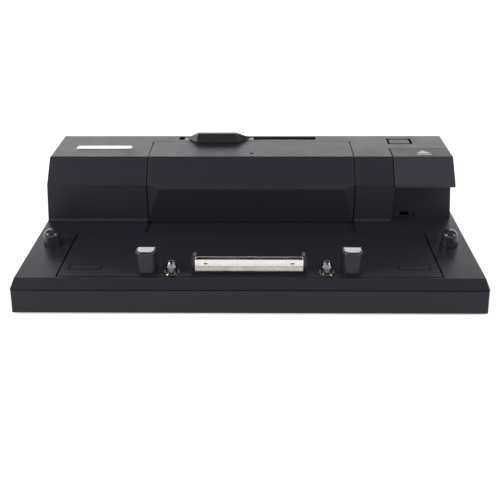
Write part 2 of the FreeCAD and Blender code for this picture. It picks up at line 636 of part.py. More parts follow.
def make_battery_bar():
    """The sliding bar in the middle of the tower: top, slanted face, undercut face and sides."""
    bar = Piece("battery_bar")
    rear = deep("bar_rear")
    lip_y = f"({TOWER_Y} - lip_reach)"
    side = [(f"{TOWER_Y} + 0.3", "bar_foot"), (lip_y, "lip_height"), (TOP_Y, "tower_top"),
            (rear, "tower_top"), (rear, "45"), (f"{TOWER_Y} + 30", "bar_foot")]
    bar.add("YZ", [side], "-bar_half", "bar_half")
    for sign in ("", "-"):
        facet = [(f"{sign}lip_half", lip_y), (f"{sign}lip_half", f"{lip_y} - 1"),
                 (f"{sign}(bar_half + 1)", f"{lip_y} - 1"),
                 (f"{sign}(bar_half + 1)", f"{TOWER_Y} + lip_reach / (bar_half - lip_half)")]
        bar.cut("XY", [facet], "bar_foot - 1", "crease_height + 3")
    top, front_y = value("tower_top"), value(TOP_Y)
    bar.soften("Fillet", "edge_round", lambda e: all_at(e, "z", top) and all_at(e, "y", front_y))
    side_x = value("bar_half")
    bar.soften("Fillet", "edge_round", lambda e: on_tower_face(e)
               and (all_at(e, "x", side_x) or all_at(e, "x", -side_x)))
    hollow = [(f"{TOWER_Y} + wall", "bar_foot - 1"), (f"{TOWER_Y} + wall", "lip_height + 0.6"),
              (f"{TOP_Y} + 1", ROOF), (f"{rear} + 1", ROOF), (f"{rear} + 1", "bar_foot - 1")]
    inner = "(bar_half - wall)"
    bar.cut("YZ", [hollow], minus(inner), inner)
    for x in ("-45", "45"):
        bar.box((f"{x} - 4", f"{x} + 4"), (f"{TOWER_Y} + wall - 0.2", deep("105.2")), ("48", "52.2"))
    bar.cut("XY", [disc("lens_x", deep("lens_depth"), "1.6")], "tower_top - 4", "tower_top + 1")


def make_bar_carriage():
    """The steel sled under the bar, with runners that straddle the fixed rails."""
    sled = Piece("bar_carriage")
    front, rear = deep("105.2"), deep("151")
    sled.box(("-66", "66"), (front, rear), ("48", "49.6"))
    sled.box(("-56", "56"), (front, f"{front} + 1.6"), ("49.6", "52.6"))
    for x in ("-64.6", "-57", "55.4", "63"):
        sled.box((x, f"{x} + 1.6"), (f"{front} + 2", rear), ("44.4", "48"))
    sled.cut_box(("-40", "40"), (f"{front} + 8", deep("138")), ("48", "49.6"))
    node(rod("CamPin", "cam_x", "cam_y", "49.6", "63.8", 2), "cam_pin")


def make_slide_frame():
    """The table that carries the rails above the main board."""
    frame = Piece("slide_frame")
    frame.box(("-74", "74"), ("22", "80"), ("frame_foot", "frame_top"))
    for x in ("-70", "70"):
        for y in ("24.6", "72"):
            frame.box((f"{x} - 3", f"{x} + 3"), (f"{y} - 2.4", f"{y} + 2.4"), (FLOOR_TOP, "frame_foot"))
    frame.cut_box(("-48", "48"), ("30", "72"), ("frame_foot", "frame_top"))
    rails = [block(f"Rail{i}", (f"{x} - 2.5", f"{x} + 2.5"), ("24", "79"), ("frame_top", "47.6"))
             for i, x in enumerate(("-60", "60"))]
    group("slide_rails", rails)


def make_lever_parts():
    """The lever tab in its slot, the plate with the cam slot, and the guide under the plate."""
    tab = Piece("lever_tab")
    low_y, high_y = deep("(slot_front + 0.5)"), deep("(slot_rear - 0.5)")
    middle = f"(({low_y} + {high_y}) / 2)"
    foot = [("-53", middle), ("-44.6", deep("151.7")), ("-10.8", deep("151.7")), ("-0.5", middle),
            ("-10.8", high_y), ("-44.6", high_y)]
    ridge_low, ridge_high = deep("156.4"), deep("159.4")
    ridge_mid = deep("157.9")
    crest = [("-44", ridge_mid), ("-43.6", ridge_low), ("-12.3", ridge_low), ("-11.9", ridge_mid),
             ("-12.3", ridge_high), ("-43.6", ridge_high)]
    tab.loft(foot, crest, "tower_top + 0.45", "tab_top")
    tab.box(("tab_left", "tab_right"), (low_y, high_y), ("62", "tower_top - 0.3"))
    tab.box(("-46", "-9.5"), (low_y, high_y), ("tower_top - 1", "tower_top + 1"))

    plate = Piece("lever_plate")
    plate.box(("tab_left", "14"), (deep("118"), high_y), ("60", "62"))
    # The slot runs from the pin's place at rest to where it is when bar and lever have travelled.
    pin_x, pin_y, reach = value("cam_x"), value("cam_y"), 2.35
    run_x, run_y = -value("lever_travel"), -value("bar_travel")
    length = (run_x ** 2 + run_y ** 2) ** 0.5
    side_x, side_y = -run_y / length * reach, run_x / length * reach
    ends = [(pin_x, pin_y), (pin_x + run_x, pin_y + run_y)]
    corners = [(0, 1), (0, -1), (1, -1), (1, 1)]
    slot = [(str(ends[i][0] + sign * side_x), str(ends[i][1] + sign * side_y)) for i, sign in corners]
    plate.cut("XY", [slot], "60", "62")
    plate.cut("XY", [disc(x, y, reach) for x, y in ends], "60", "62")

    guide = Piece("lever_guide")
    guide.box(("-70", "76"), (deep("154.8"), f"{REAR} - wall"), ("57.4", "59.7"))


def make_rest_pads():
    """Two pads that sit in shallow pockets of the dock panel, a little proud of it."""
    pads = [block(f"RestPad{i}", (f"{x} - pad_half", f"{x} + pad_half"),
                  (deep("pad_front"), deep("pad_rear")), ("plate_height - pad_sunk", "plate_height + 0.1"))
            for i, x in enumerate(PAD_PLACES)]
    group("rest_pads", pads)


def make_dock_connector():
    """The plug that meets the laptop: plastic housing, metal shell, contact blade and its board."""
    housing = Piece("connector_housing")
    half, shell = "plug_half", "shell_half"
    front, rear = deep("plug_front"), deep("plug_rear")
    housing.box((minus(half), half), (front, rear), ("plate_height", "shell_foot"))
    housing.box(("-35.5", "35.5"), (deep("14.9"), deep("20.6")), ("17.2", "plate_height"))
    for sign in ("", "-"):
        horn = [(f"{sign}({shell} + 0.2)", "shell_foot - 0.5"), (f"{sign}{half}", "shell_foot - 0.5"),
                (f"{sign}{half}", "shell_top + 3.4"), (f"{sign}({shell} - 1.1)", "shell_top + 3.4"),
                (f"{sign}({shell} + 0.2)", "shell_top + 1.4")]
        housing.add("XZ", [horn], deep("(shell_front - 0.2)"), deep("shell_rear"))
    outer_x, horn_top = value(half), value("shell_top + 3.4")
    housing.soften("Fillet", "2.2", lambda e: all_at(e, "z", horn_top)
                   and (all_at(e, "x", outer_x) or all_at(e, "x", -outer_x)))
    housing.cut_box(("-34.4", "34.4"), (deep("17.9"), deep("19.7")), ("18.5", "shell_foot"))

    shell_y, shell_rear = deep("shell_front"), deep("shell_rear")
    can = Piece("connector_shell")
    can.box((minus(shell), shell), (shell_y, shell_rear), ("shell_foot", "shell_top"))
    can.cut_box((f"0.6 - {shell}", f"{shell} - 0.6"), (f"{shell_y} + 0.6", f"{shell_rear} - 0.6"),
                ("shell_foot", "shell_top"))
    can.box((minus(shell), shell), (f"{front} + 0.4", f"{shell_y} + 0.1"),
            ("shell_foot", "shell_foot + 0.6"))
    for x in ("-29.5", "29.5"):
        can.cut_box((f"{x} - 1.3", f"{x} + 1.3"), (f"{shell_y} - 0.1", f"{shell_y} + 0.6"),
                    ("shell_top - 3.2", "shell_top - 2.3"))

    blade = Piece("connector_contacts")
    blade.box(("-34", "34"), (deep("18.1"), deep("19.5")), ("18.6", "shell_top - 0.8"))

    node(block("ConnectorBoard", ("-45", "45"), (deep("11.6"), deep("25.6")),
               ("plug_board_foot", "plug_board_foot + board_thick")), "connector_board")


def make_boards():
    """The main board on its standoffs, and the flat cable to the connector board."""
    board = Piece("main_board")
    foot, top = "main_board_foot", "main_board_foot + board_thick"
    board.box(("-124", "112"), ("30", "80"), (foot, top))
    for x in ("-70", "70"):
        board.cut_box((f"{x} - 3.8", f"{x} + 3.8"), ("68.8", "75.2"), (foot, top))
    stands = [rod(f"Standoff{i}", x, y, FLOOR_TOP, foot, 3)
              for i, (x, y) in enumerate((x, y) for x in (-116, 104) for y in (36, 74))]
    group("board_standoffs", stands)
    cable = Piece("flat_cable")
    high, lowest, last = "(plug_board_foot + board_thick)", "13", "19.2"
    path = [(deep("22.6"), high), (deep("26.6"), high), (deep("31"), lowest), ("26", lowest),
            ("31", last), ("36", last), ("36", f"{last} + cable_thick"), ("30.6", f"{last} + cable_thick"),
            ("25.6", f"{lowest} + cable_thick"), (deep("31.4"), f"{lowest} + cable_thick"),
            (deep("27"), f"{high} + cable_thick"), (deep("22.6"), f"{high} + cable_thick")]
    cable.add("YZ", [path], "-20", "20")


def make_rear_ports():
    """The metal-shelled sockets on the main board, and the panel that they look through."""
    low = "(main_board_foot + board_thick)"
    face = f"({REAR} - 0.6)"
    panel = Piece("rear_io_panel")
    panel.box(("-118", "112"), (f"{REAR} - wall", f"{REAR} - 0.2"), ("20.8", "io_top"))
    panel.box(("-121", "115"), (f"{REAR} - wall - 1.6", f"{REAR} - wall"), ("19.6", "io_top + 2"))

    def opening(x, wide, z_low, z_high):
        panel.cut_box((f"{x} - {wide / 2} - 0.25", f"{x} + {wide / 2} + 0.25"),
                      (f"{REAR} - 5", f"{REAR} + 1"), (f"{z_low} - 0.25", f"{z_high} + 0.25"))

    def can(label, x, wide, tall, long, wall_thick=0.5, lift=0.4):
        """A box socket, open to the rear."""
        z_low, z_high = f"{low} + {lift}", f"{low} + {lift} + {tall}"
        opening(x, wide, z_low, z_high)
        piece = Piece(label)
        piece.box((f"{x} - {wide / 2}", f"{x} + {wide / 2}"), (f"{face} - {long}", face), (z_low, z_high))
        piece.cut_box((f"{x} - {wide / 2 - wall_thick}", f"{x} + {wide / 2 - wall_thick}"),
                      (f"{face} - {long - 3}", face), (f"{z_low} + {wall_thick}", f"{z_high} - {wall_thick}"))
        piece.box((f"{x} - {wide / 2 - 1}", f"{x} + {wide / 2 - 1}"), (f"{face} - {long}", f"{face} - 3.8"),
                  (low, f"{z_low} + 0.2"))
        return piece, z_low

    jack, z_low = can("network_port", "56", 15.8, 13.2, 16, 1.6)
    jack.box(("52", "60"), (f"{face} - 12", f"{face} - 8"), (f"{z_low} + 1.4", f"{z_low} + 3"))

    usb, z_low = can("usb_ports", "32", 14.4, 15.4, 17)
    for level in (3.4, 10.6):
        usb.box(("26.4", "37.6"), (f"{face} - 14.5", f"{face} - 1"),
                (f"{z_low} + {level}", f"{z_low} + {level + 1.9}"))
    usb.box(("24.9", "39.1"), (f"{face} - 14.5", f"{face} - 0.2"), (f"{z_low} + 7", f"{z_low} + 8.4"))

    display, z_low = can("display_port", "4", 17.8, 6.4, 14)
    display.box(("-2.6", "10.6"), (f"{face} - 11.5", f"{face} - 1"), (f"{z_low} + 2.4", f"{z_low} + 3.9"))

    dvi, z_low = can("dvi_port", "-38", 26.4, 10.4, 12)
    dvi.box(("-49.6", "-26.4"), (f"{face} - 9.5", f"{face} - 1"), (f"{z_low} + 1.9", f"{z_low} + 8.5"))

    vga, z_low = can("vga_port", "-95", 18.2, 10.4, 12)
    vga.box(("-102.6", "-87.4"), (f"{face} - 9.5", f"{face} - 0.8"), (f"{z_low} + 1.9", f"{z_low} + 8.5"))

    power, z_low = can("dc_jack", "96", 12.4, 11.4, 14, 1.8)
    power.add("XZ", [disc("96", f"{z_low} + 5.7", 0.8)], f"{face} - 11.5", f"{face} - 0.6")

    audio = Piece("audio_jacks")
    z_low, z_high = f"{low} + 0.4", f"{low} + 17.4"
    opening("79", 8.2, z_low, z_high)
    audio.box(("79 - 4.1", "79 + 4.1"), (f"{face} - 12", face), (z_low, z_high))
    audio.box(("79 - 3", "79 + 3"), (f"{face} - 12", f"{face} - 3.8"), (low, f"{z_low} + 0.2"))
    audio.cut("XZ", [disc("79", f"{z_low} + {up}", 1.8) for up in (4.4, 12.6)], f"{face} - 10", face)

    nuts = []
    for index, x in enumerate((-38 - 17, -38 + 17, -95 - 13, -95 + 13)):
        nut = DOC.addObject("Part::Cylinder", f"JackNut{index}")
        nut.Radius, nut.Height = 2.4, 3.4
        nut.Placement.Rotation = FreeCAD.Rotation(FreeCAD.Vector(1, 0, 0), 90)
        nuts.append(place_at(nut, x, REAR, f"{low} + 5.6"))
        opening(str(x), 4.8, f"{low} + 3.2", f"{low} + 8.0")
    group("port_nuts", nuts)

    plate = Piece("lock_plate")
    back = deep("recess_back")
    plate.box(("111.8", "129.2"), (f"{back} + 2", f"{back} + 3.4"), ("22.6", "plate_height + 6"))
    plate.cut_box(("117", "124"), (f"{back} + 1", f"{back} + 4"), ("plate_height + 1", "plate_height + 4"))


def make_power_button():
    """The power button, with the switch and small board that it presses."""
    y = deep("power_depth")
    button = Piece("power_button")
    half_x, half_y = "power_wide / 2", "power_long / 2"
    button.box((f"power_x - {half_x}", f"power_x + {half_x}"), (f"{y} - {half_y}", f"{y} + {half_y}"),
               ("66.4", "tower_top - 0.1"))
    top = value("tower_top - 0.1")
    button.soften("Fillet", "0.5", lambda e: all_at(e, "z", top))
    button.box((f"power_x - {half_x} - power_flange", f"power_x + {half_x} + power_flange"),
               (f"{y} - {half_y} - power_flange", f"{y} + {half_y} + power_flange"), ("65.6", "67.2"))
    node(block("PowerSwitch", ("power_x - 3", "power_x + 3"), (f"{y} - 3", f"{y} + 3"), ("60.8", "64.2")),
         "power_switch")
    board = Piece("switch_board")
    board.box(("105", "135"), (f"{y} - 8", f"{y} + 8.6"), ("59.6", "60.8"))
    for x in ("106.6", "133.4"):
        board.box((f"{x} - 1.4", f"{x} + 1.4"), (f"{y} - 3", f"{y} + 3"), ("60.8", ROOF))


def make_trim():
    """Feet, screws, the blank badge and the status lens."""
    feet = [block(f"Foot{i}", (x - 17, x + 17), (y - 5, y + 5), ("0", "foot_height + 0.8"))
            for i, (x, y) in enumerate(FOOT_PLACES)]
    group("rubber_feet", feet)
    screws = []
    for i, (x, y) in enumerate(SCREW_PLACES):
        screws.append(fuse(f"Screw{i}", rod(f"ScrewHead{i}", x, y, "2.3", "3.6", 3.0),
                           rod(f"ScrewShank{i}", x, y, "3.4", "plate_height - 1.6", 1.1)))
    group("case_screws", screws)
    badge = Piece("blank_badge")
    badge.box(("badge_left", "badge_right"), (deep("badge_front"), deep("badge_rear")),
              ("tower_top", "tower_top + badge_thick"))
    badge.soften("Fillet", "2.2", lambda e: along(e, "z"))
    badge_top = value("tower_top + badge_thick")
    badge.soften("Chamfer", "0.25", lambda e: all_at(e, "z", badge_top))
    node(rod("StatusLens", "lens_x", deep("lens_depth"), "tower_top - 2.3", "tower_top - 1.3", 1.5),
         "status_lens")


def make_all():
    make_base_tray()
    make_upper_casing()
    make_dock_panel()
    make_chassis_plate()
    for side, sign in (("left", "-"), ("right", "")):
        make_latch_post(f"latch_post_{side}", f"{sign}post_x")
        make_post_cap(f"post_cap_{side}", f"{sign}post_x")
        make_latch_hook(f"latch_hook_{side}", f"{sign}post_x")
        make_guide_pin(f"guide_pin_{side}", f"{sign}pin_x")
        make_support_peg(f"support_peg_{side}", f"{sign}peg_x")
        make_spring(f"peg_spring_{side}", f"{sign}peg_x", deep("peg_depth"), "5.2", "19.6", 5.2, 0.45, 5)
    make_latch_shaft()
    make_shaft_bearings()
    make_eject_parts()
    make_spring("eject_spring", "eject_axis_x", deep("eject_axis_y"), "shelf_height", "56.5", 4.2, 0.45, 5)
    make_peg_guides()
    make_battery_bar()
    make_bar_carriage()
    make_slide_frame()
    make_lever_parts()
    make_rest_pads()
    make_dock_connector()
    make_boards()
    make_rear_ports()
    make_power_button()
    make_trim()


def write_files():
    """Check every object and write one file for each piece."""
    DOC.recompute()
    for thing in DOC.Objects:
        if {"Invalid", "Error"} & set(thing.State):
            raise RuntimeError(f"{thing.Name} is {thing.State}")
    labels = [piece.Label for piece in NODES]
    if len(set(labels)) != len(labels) or len(labels) > 60:
        raise RuntimeError("labels clash or there are too many")
    os.makedirs("parts", exist_ok=True)
    for piece in NODES:
        if piece.Shape.isNull() or not piece.Shape.isValid():
            raise RuntimeError(f"{piece.Label} has a bad shape")
        piece.Shape.exportStep(f"parts/{piece.Label}.step")


make_all()
write_files()
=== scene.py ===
import json
import math

import bmesh
import bpy
from mathutils import Matrix, Vector


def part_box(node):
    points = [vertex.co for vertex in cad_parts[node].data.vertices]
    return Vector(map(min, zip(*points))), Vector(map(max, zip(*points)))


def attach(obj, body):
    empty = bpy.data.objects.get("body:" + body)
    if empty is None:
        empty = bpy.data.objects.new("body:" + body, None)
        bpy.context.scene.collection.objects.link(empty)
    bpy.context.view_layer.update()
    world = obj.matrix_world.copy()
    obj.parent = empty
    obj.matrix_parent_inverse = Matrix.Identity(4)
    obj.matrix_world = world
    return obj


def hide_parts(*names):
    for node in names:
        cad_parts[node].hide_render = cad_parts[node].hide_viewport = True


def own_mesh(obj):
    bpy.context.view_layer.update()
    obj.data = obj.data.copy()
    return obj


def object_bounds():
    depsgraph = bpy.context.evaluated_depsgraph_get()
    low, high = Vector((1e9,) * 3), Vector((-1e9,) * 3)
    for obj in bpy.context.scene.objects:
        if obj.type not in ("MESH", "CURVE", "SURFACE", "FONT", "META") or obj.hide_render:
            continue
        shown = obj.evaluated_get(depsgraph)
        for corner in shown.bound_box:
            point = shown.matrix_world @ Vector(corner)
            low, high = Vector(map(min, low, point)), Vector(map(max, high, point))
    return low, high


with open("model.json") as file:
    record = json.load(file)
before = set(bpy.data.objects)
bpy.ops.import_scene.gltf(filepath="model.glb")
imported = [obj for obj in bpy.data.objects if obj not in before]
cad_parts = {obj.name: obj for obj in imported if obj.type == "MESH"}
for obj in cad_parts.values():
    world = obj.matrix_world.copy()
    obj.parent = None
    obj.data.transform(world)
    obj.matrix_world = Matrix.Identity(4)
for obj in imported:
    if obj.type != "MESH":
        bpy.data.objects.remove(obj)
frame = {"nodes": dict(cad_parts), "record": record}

# A laptop docking station. Lengths are in metres; +X is right, +Y is the rear and +Z is up.

CAD_LOW, CAD_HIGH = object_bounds()
MM = 0.001
FRONT_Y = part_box("base_tray")[0].y
BASE_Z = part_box("base_tray")[0].z


# ---------------------------------------------------------------- materials

# Most of a noise texture's values lie between these two.
NOISE_LOW, NOISE_HIGH = 0.3, 0.7

# Moulded plastic: the noise scales of its colour, its gloss and its grain, and how deep the grain is.
TONE_SCALE, SHEEN_SCALE, GRAIN_SCALE = 900, 60, 1500
GRAIN_DEPTH = 0.05 * MM
SHEEN_SPREAD = 0.03
COOL_TINT = (0.93, 0.92, 1.0, 1)  # its reflections are a little blue

# Metal: how much its roughness varies, as a part of the whole.
METAL_SPREAD = 0.2


def new_material(name):
    """A new node material, its node tree and its shader."""
    material = bpy.data.materials.new(name)
    material.use_nodes = True
    tree = material.node_tree
    shader = tree.nodes["Principled BSDF"]
    return material, tree, shader


def noise(tree, scale, detail=2.0, roughness=0.5, stretch=(1, 1, 1)):
    """Solid noise in the object's own frame."""
    place = tree.nodes.new("ShaderNodeTexCoord")
    mapping = tree.nodes.new("ShaderNodeMapping")
    mapping.inputs["Scale"].default_value = stretch
    texture = tree.nodes.new("ShaderNodeTexNoise")
    texture.inputs["Scale"].default_value = scale
    texture.inputs["Detail"].default_value = detail
    texture.inputs["Roughness"].default_value = roughness
    tree.links.new(place.outputs["Object"], mapping.inputs["Vector"])
    tree.links.new(mapping.outputs["Vector"], texture.inputs["Vector"])
    return texture.outputs["Fac"]


def ramp(tree, source, low, high):
    """Spread a noise value between two numbers."""
    node = tree.nodes.new("ShaderNodeMapRange")
    node.inputs["From Min"].default_value = NOISE_LOW
    node.inputs["From Max"].default_value = NOISE_HIGH
    node.inputs["To Min"].default_value = low
    node.inputs["To Max"].default_value = high
    tree.links.new(source, node.inputs["Value"])
    return node.outputs["Result"]


def blend_colours(tree, source, first, second):
    """Mix two colours by a noise value."""
    node = tree.nodes.new("ShaderNodeMix")
    node.data_type = "RGBA"
    node.inputs["A"].default_value = (*first, 1)
    node.inputs["B"].default_value = (*second, 1)
    tree.links.new(source, node.inputs["Factor"])
    return node.outputs["Result"]


def bump(tree, shader, height, depth):
    """Raise the surface by a noise value; depth is the height of the relief."""
    node = tree.nodes.new("ShaderNodeBump")
    node.inputs["Distance"].default_value = depth
    node.inputs["Strength"].default_value = 1.0
    tree.links.new(height, node.inputs["Height"])
    tree.links.new(node.outputs["Normal"], shader.inputs["Normal"])


def grained_plastic(name, dark, light, rough, grain=GRAIN_SCALE, depth=GRAIN_DEPTH, gloss=0.4):
    """Moulded plastic with a fine spark-eroded grain and slight changes of colour and gloss."""
    material, tree, shader = new_material(name)
    tone = noise(tree, TONE_SCALE, 3)
    tree.links.new(blend_colours(tree, tone, dark, light), shader.inputs["Base Color"])
    sheen = ramp(tree, noise(tree, SHEEN_SCALE, 4), rough - SHEEN_SPREAD, rough + SHEEN_SPREAD)
    tree.links.new(sheen, shader.inputs["Roughness"])
    bump(tree, shader, noise(tree, grain, 3, 0.6), depth)
    shader.inputs["Specular IOR Level"].default_value = gloss
    shader.inputs["Specular Tint"].default_value = COOL_TINT
    return material


def metal(name, dark, light, rough, scale=700, stretch=(1, 1, 5), depth=0.004 * MM):
    """Plated or brushed metal with fine streaks."""
    material, tree, shader = new_material(name)
    shader.inputs["Metallic"].default_value = 1.0
    streaks = noise(tree, scale, 3, 0.6, stretch)
    tree.links.new(blend_colours(tree, streaks, dark, light), shader.inputs["Base Color"])
    patches = noise(tree, scale / 3, 2)
    sheen = ramp(tree, patches, rough * (1 - METAL_SPREAD), rough * (1 + METAL_SPREAD))
    tree.links.new(sheen, shader.inputs["Roughness"])
    bump(tree, shader, streaks, depth)
    return material


def make_materials():
    """Every finish, by the names that the record's slots, OWN_FINISH and the pieces use."""
    def grey(level, blue=1.4):
        return level, level, level * blue

    return {
        "casing": grained_plastic("casing_plastic", grey(0.006), grey(0.010), rough=0.36, gloss=0.18),
        "button_plastic": grained_plastic("button_plastic", grey(0.009), grey(0.015), rough=0.44,
                                          gloss=0.24),
        "tab_plastic": grained_plastic("polished_plastic", grey(0.006), grey(0.008), rough=0.2,
                                       grain=1400, depth=0.003 * MM, gloss=0.28),
        "inner_plastic": grained_plastic("inner_plastic", grey(0.008), grey(0.011), rough=0.5),
        "dark_steel": grained_plastic("black_steel", grey(0.006, 1.1), grey(0.009, 1.1), rough=0.4,
                                      grain=900),
        "contact_plastic": grained_plastic("contact_carrier", grey(0.03), grey(0.05), rough=0.4),
        "board": grained_plastic("solder_mask", (0.006, 0.05, 0.02), (0.01, 0.08, 0.03), rough=0.3,
                                 grain=400),
        "cable_film": grained_plastic("cable_film", (0.55, 0.55, 0.5), (0.65, 0.65, 0.6), rough=0.35,
                                      grain=300),
        "rubber": grained_plastic("foot_rubber", grey(0.014), grey(0.022), rough=0.75, grain=1800,
                                  depth=0.03 * MM),
        # Near-black gloss; the screen sockets' pin-hole discs use it as painted shade.
        "lens": grained_plastic("painted_hole_shade", grey(0.003), grey(0.005), rough=0.12, grain=600,
                                depth=0.001 * MM),
        "print": grained_plastic("printed_mark", grey(0.25, 1.04), grey(0.3, 1.04), rough=0.5,
                                 grain=1200),
        "faint_print": grained_plastic("faint_mark", grey(0.05, 1.1), grey(0.07, 1.1), rough=0.5,
                                       grain=1200),
        "vga_insert": grained_plastic("blue_insulator", (0.01, 0.03, 0.16), (0.015, 0.045, 0.2),
                                      rough=0.45),
        "dvi_insert": grained_plastic("white_insulator", (0.5, 0.5, 0.48), (0.6, 0.6, 0.57), rough=0.45),
        "steel": metal("zinc_steel", grey(0.45, 1.02), grey(0.62, 1.02), rough=0.34, scale=500,
                       stretch=(1, 6, 1)),
        "bright_metal": metal("bright_plate", grey(0.78, 0.97), grey(0.86, 0.97), rough=0.2),
        "badge": metal("badge_silver", grey(0.6, 1.0), grey(0.72, 1.0), rough=0.36, scale=900,
                       stretch=(1, 8, 1)),
        # Painted highlight: the glossy black posts' tops catching the lamps, given as a light metal.
        "cap_painted_highlight": metal("post_top_painted_highlight", grey(0.48, 1.0), grey(0.56, 1.0), rough=0.24),
        # Chrome painted dark: painted shade for the dark room that the guide pins reflect.
        "pin_metal": metal("pin_chrome_painted_dark", grey(0.09, 1.0), grey(0.12, 1.0), rough=0.16),
        "shell_metal": metal("plated_shell", (0.64, 0.62, 0.58), (0.67, 0.65, 0.61), rough=0.24,
                             scale=300, stretch=(1, 1, 1), depth=0),
        "gilt": metal("gilt_contact", (0.72, 0.5, 0.2), (0.85, 0.62, 0.28), rough=0.22),
    }


# Nodes whose finish differs from the others of their slot.
# The guide pins' dark metal is painted shade on chrome.
OWN_FINISH = {"guide_pin_left": "pin_metal", "guide_pin_right": "pin_metal",
              # The post caps' metal is a painted highlight for the glossy black posts' tops.
              "post_cap_left": "cap_painted_highlight", "post_cap_right": "cap_painted_highlight",
              "connector_shell": "shell_metal", "rest_pads": "casing", "eject_button": "button_plastic",
              "lever_plate": "dark_steel"}


def dress_cad_nodes(materials):
    """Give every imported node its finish."""
    slots = {part["node"]: part["material_slot"] for part in frame["record"]["subparts"]}
    for name, thing in frame["nodes"].items():
        thing.data.materials.clear()
        thing.data.materials.append(materials[OWN_FINISH.get(name, slots[name])])


# ---------------------------------------------------------------- mesh tools

def mesh_piece(name, build, material, body):
    """A piece whose mesh the build function fills; it rides on a body."""
    mesh = bpy.data.meshes.new(name)
    work = bmesh.new()
    build(work)
    bmesh.ops.recalc_face_normals(work, faces=work.faces)
    work.to_mesh(mesh)
    work.free()
    piece = bpy.data.objects.new(name, mesh)
    bpy.context.scene.collection.objects.link(piece)
    mesh.materials.append(material)
    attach(piece, body)
    return piece


def bridge(work, ring, after):
    """Join two rings of points with a band of faces."""
    for i in range(len(ring)):
        k = (i + 1) % len(ring)
        work.faces.new((ring[i], ring[k], after[k], after[i]))


def slab(work, outline, low, high):
    """A flat plate with this outline between two heights."""
    base = [work.verts.new((x, y, low)) for x, y in outline]
    top = [work.verts.new((x, y, high)) for x, y in outline]
    work.faces.new(base)
    work.faces.new(top)
    bridge(work, base, top)


def blocks(work, corners):
    """Small blocks, each given by its lowest and highest corner."""
    for low, high in corners:
        outline = [(low[0], low[1]), (high[0], low[1]), (high[0], high[1]), (low[0], high[1])]
        slab(work, outline, low[2], high[2])


def arc_band(work, centre, radii, angles, heights, steps=28):
    """A flat curved band about an upright axis, from one angle to another."""
    points = []
    for i in range(steps + 1):
        angle = math.radians(angles[0] + (angles[1] - angles[0]) * i / steps)
        points.append((math.cos(angle), math.sin(angle)))
    inner, outer = radii
    outline = [(centre[0] + c * outer, centre[1] + s * outer) for c, s in points]
    outline += [(centre[0] + c * inner, centre[1] + s * inner) for c, s in reversed(points)]
    slab(work, outline, *heights)


def pin_ends(work, centres, radius, y_low, y_high, sides=12):
    """Short round prisms along Y at (x, z) centres."""
    turns = [2 * math.pi * i / sides for i in range(sides)]
    for x, z in centres:
        rings = []
        for y in (y_low, y_high):
            rings.append([work.verts.new((x + radius * math.cos(turn), y, z + radius * math.sin(turn)))
                          for turn in turns])
        work.faces.new(rings[0])
        work.faces.new(rings[1])
        bridge(work, *rings)


def wire_coil(work, foot, radius, wire, tall, turns=5, steps=24, sides=10):
    """A standing coil of round wire; radius is its centreline's and wire is the wire's own."""
    around = [2 * math.pi * side / sides for side in range(sides)]
    rings = []
    for step in range(turns * steps + 1):
        angle = 2 * math.pi * step / steps
        outward = Vector((math.cos(angle), math.sin(angle), 0))
        rise = wire + (tall - 2 * wire) * step / (turns * steps)
        centre = foot + outward * radius + Vector((0, 0, rise))
        rings.append([work.verts.new(centre + wire * (outward * math.cos(turn)
                      + Vector((0, 0, math.sin(turn))))) for turn in around])
    work.faces.new(rings[0])
    work.faces.new(rings[-1])
    for ring, after in zip(rings, rings[1:]):
        bridge(work, ring, after)


def contact_row(middle, count, pitch, wide, depths, heights):
    """The corners of a row of flat contacts, spaced evenly about a middle x."""
    row = []
    for i in range(count):
        x = middle + (i - (count - 1) / 2) * pitch
        row.append(((x - wide / 2, depths[0], heights[0]), (x + wide / 2, depths[1], heights[1])))
    return row


# ---------------------------------------------------------------- pieces

def make_eject_sign(materials):
    """The generic eject sign on the button: a triangle over a bar."""
    low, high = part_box("eject_button")
    right_of_middle, behind_front = 1.55 * MM, 21.7 * MM
    half_wide, bar_deep, gap, triangle_deep = 5.6 * MM, 1.5 * MM, 1.5 * MM, 6.5 * MM
    thick = 0.12 * MM
    x = (low.x + high.x) / 2 + right_of_middle
    bar_y = low.y + behind_front
    foot = bar_y + bar_deep + gap

    def build(work):
        blocks(work, [((x - half_wide, bar_y, high.z), (x + half_wide, bar_y + bar_deep, high.z + thick))])
        slab(work, [(x - half_wide, foot), (x + half_wide, foot), (x, foot + triangle_deep)],
             high.z, high.z + thick)
    mesh_piece("eject_sign", build, materials["print"], "eject")


def make_power_sign(materials):
    """The generic power sign on the power button: a broken ring and a stroke."""
    low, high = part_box("power_button")
    x, y = (low.x + high.x) / 2, (low.y + high.y) / 2
    ring, line, thick = 2.3 * MM, 0.4 * MM, 0.1 * MM
    ring_angles = (120, 420)
    stroke_foot, stroke_past_ring = 0.4 * MM, 0.5 * MM
    heights = (high.z, high.z + thick)

    def build(work):
        arc_band(work, (x, y), (ring - line, ring), ring_angles, heights)
        blocks(work, [((x - line / 2, y + stroke_foot, heights[0]),
                       (x + line / 2, y + ring + stroke_past_ring, heights[1]))])
    mesh_piece("power_sign", build, materials["faint_print"], "power")


def make_plug_contacts(materials):
    """Gilt contacts along both faces of the docking connector's blade."""
    low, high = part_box("connector_contacts")
    count, pitch, wide, proud, sunk = 60, 1.1 * MM, 0.5 * MM, 0.12 * MM, 0.05 * MM
    foot_below, top_below = 5 * MM, 0.3 * MM
    heights = (high.z - foot_below, high.z - top_below)
    corners = []
    for depths in ((low.y - proud, low.y + sunk), (high.y - sunk, high.y + proud)):
        corners += contact_row(0, count, pitch, wide, depths, heights)
    mesh_piece("plug_contacts", lambda work: blocks(work, corners), materials["gilt"], "root")


